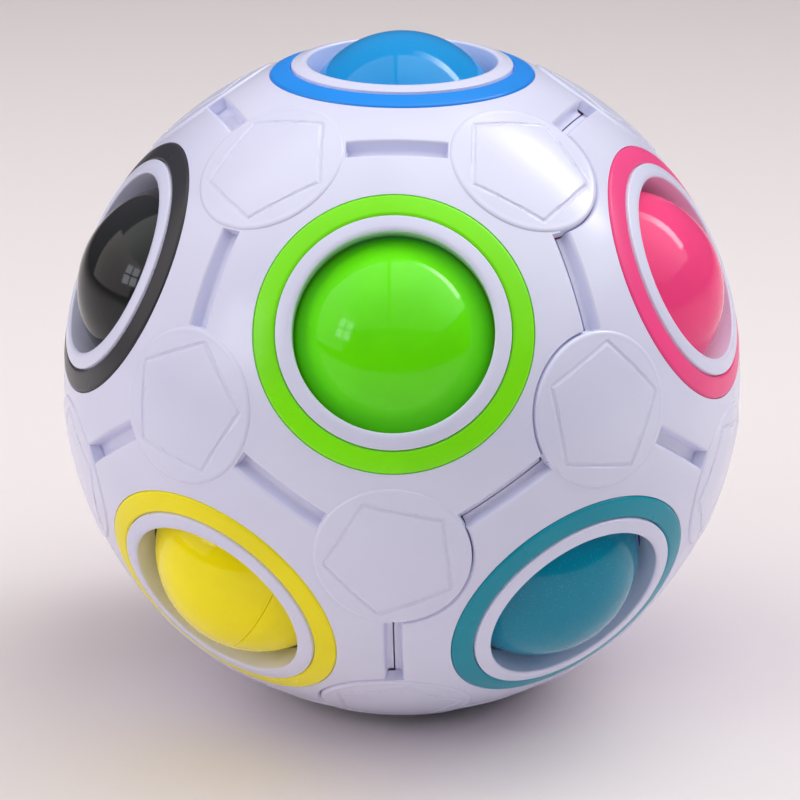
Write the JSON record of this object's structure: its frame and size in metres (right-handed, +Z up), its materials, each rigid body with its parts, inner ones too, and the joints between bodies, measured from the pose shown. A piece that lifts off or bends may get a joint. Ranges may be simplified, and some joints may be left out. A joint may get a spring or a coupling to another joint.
{
  "type": "spherical shift puzzle",
  "caption": "Hand-sized ball puzzle: white two-part shell with round collared holes, a coloured ring round each, and loose glossy balls that press in; one hole is empty.",
  "frame": {"origin": "on the table, under the centre of the puzzle: the middle of the flat rim of the empty bottom hole", "axes": "+Z up through the blue hole, -Y towards the front, where the green hole faces, +X to the right"},
  "size_m": [0.0698, 0.0706, 0.0702],
  "materials": {
    "shell_plastic": "satin moulded, white with a lavender cast",
    "ring_blue": "satin moulded",
    "ring_green": "satin moulded",
    "ring_pink": "satin moulded",
    "ring_orange": "satin moulded",
    "ring_red": "satin moulded",
    "ring_black": "satin moulded",
    "ring_teal": "satin moulded",
    "ring_violet": "satin moulded",
    "ring_navy": "satin moulded",
    "ring_brown": "satin moulded",
    "ring_yellow": "satin moulded",
    "ring_grey": "satin moulded",
    "ball_blue": "glossy moulded",
    "ball_green": "glossy moulded",
    "ball_pink": "glossy moulded",
    "ball_orange": "glossy moulded",
    "ball_red": "glossy moulded",
    "ball_black": "glossy moulded",
    "ball_teal": "glossy moulded",
    "ball_violet": "glossy moulded",
    "ball_navy": "glossy moulded",
    "ball_brown": "glossy moulded",
    "ball_yellow": "glossy moulded",
    "core_rubber": "matt"
  },
  "bodies": {
    "shell": {"shell_half_left": "shell_plastic", "shell_half_right": "shell_plastic", "ring_blue": "ring_blue", "ring_green": "ring_green", "ring_pink": "ring_pink", "ring_orange": "ring_orange", "ring_red": "ring_red", "ring_black": "ring_black", "ring_teal": "ring_teal", "ring_violet": "ring_violet", "ring_navy": "ring_navy", "ring_brown": "ring_brown", "ring_yellow": "ring_yellow", "ring_grey": "ring_grey", "core_ball": "core_rubber"},
    "ball_blue": {"ball_blue_outer": "ball_blue", "ball_blue_inner": "ball_blue"},
    "ball_green": {"ball_green_outer": "ball_green", "ball_green_inner": "ball_green"},
    "ball_pink": {"ball_pink_outer": "ball_pink", "ball_pink_inner": "ball_pink"},
    "ball_orange": {"ball_orange_outer": "ball_orange", "ball_orange_inner": "ball_orange"},
    "ball_red": {"ball_red_outer": "ball_red", "ball_red_inner": "ball_red"},
    "ball_black": {"ball_black_outer": "ball_black", "ball_black_inner": "ball_black"},
    "ball_teal": {"ball_teal_outer": "ball_teal", "ball_teal_inner": "ball_teal"},
    "ball_violet": {"ball_violet_outer": "ball_violet", "ball_violet_inner": "ball_violet"},
    "ball_navy": {"ball_navy_outer": "ball_navy", "ball_navy_inner": "ball_navy"},
    "ball_brown": {"ball_brown_outer": "ball_brown", "ball_brown_inner": "ball_brown"},
    "ball_yellow": {"ball_yellow_outer": "ball_yellow", "ball_yellow_inner": "ball_yellow"}
  },
  "joints": [
    {"name": "blue_press", "type": "slide", "parent": "shell", "child": "ball_blue", "axis": [0, 0, -1], "range_m": [0, 0.0035], "stiffness_N_per_m": 700, "springref_m": -0.0004, "deforming": ["core_ball"]},
    {"name": "green_press", "type": "slide", "parent": "shell", "child": "ball_green", "axis": [0, 0.8944, -0.4472], "range_m": [0, 0.0035], "stiffness_N_per_m": 700, "springref_m": -0.0004, "deforming": ["core_ball"]},
    {"name": "pink_press", "type": "slide", "parent": "shell", "child": "ball_pink", "axis": [-0.8507, 0.2764, -0.4472], "range_m": [0, 0.0035], "stiffness_N_per_m": 700, "springref_m": -0.0004, "deforming": ["core_ball"]},
    {"name": "orange_press", "type": "slide", "parent": "shell", "child": "ball_orange", "axis": [-0.5257, -0.7236, -0.4472], "range_m": [0, 0.0035], "stiffness_N_per_m": 700, "springref_m": -0.0004, "deforming": ["core_ball"]},
    {"name": "red_press", "type": "slide", "parent": "shell", "child": "ball_red", "axis": [0.5257, -0.7236, -0.4472], "range_m": [0, 0.0035], "stiffness_N_per_m": 700, "springref_m": -0.0004, "deforming": ["core_ball"]},
    {"name": "black_press", "type": "slide", "parent": "shell", "child": "ball_black", "axis": [0.8507, 0.2764, -0.4472], "range_m": [0, 0.0035], "stiffness_N_per_m": 700, "springref_m": -0.0004, "deforming": ["core_ball"]},
    {"name": "teal_shift", "type": "hinge", "parent": "shell", "child": "ball_teal", "pos_m": [0.01469, -0.02021, -0.00673], "axis": [-0.809, -0.5878, 0], "range_deg": [0, 56.57], "deforming": ["core_ball"]},
    {"name": "violet_press", "type": "slide", "parent": "shell", "child": "ball_violet", "axis": [-0.8507, -0.2764, 0.4472], "range_m": [0, 0.0035], "stiffness_N_per_m": 700, "springref_m": -0.0004, "deforming": ["core_ball"]},
    {"name": "navy_press", "type": "slide", "parent": "shell", "child": "ball_navy", "axis": [0, -0.8944, 0.4472], "range_m": [0, 0.0035], "stiffness_N_per_m": 700, "springref_m": -0.0004, "deforming": ["core_ball"]},
    {"name": "brown_press", "type": "slide", "parent": "shell", "child": "ball_brown", "axis": [0.8507, -0.2764, 0.4472], "range_m": [0, 0.0035], "stiffness_N_per_m": 700, "springref_m": -0.0004, "deforming": ["core_ball"]},
    {"name": "yellow_press", "type": "slide", "parent": "shell", "child": "ball_yellow", "axis": [0.5257, 0.7236, 0.4472], "range_m": [0, 0.0035], "stiffness_N_per_m": 700, "springref_m": -0.0004, "deforming": ["core_ball"]}
  ]
}
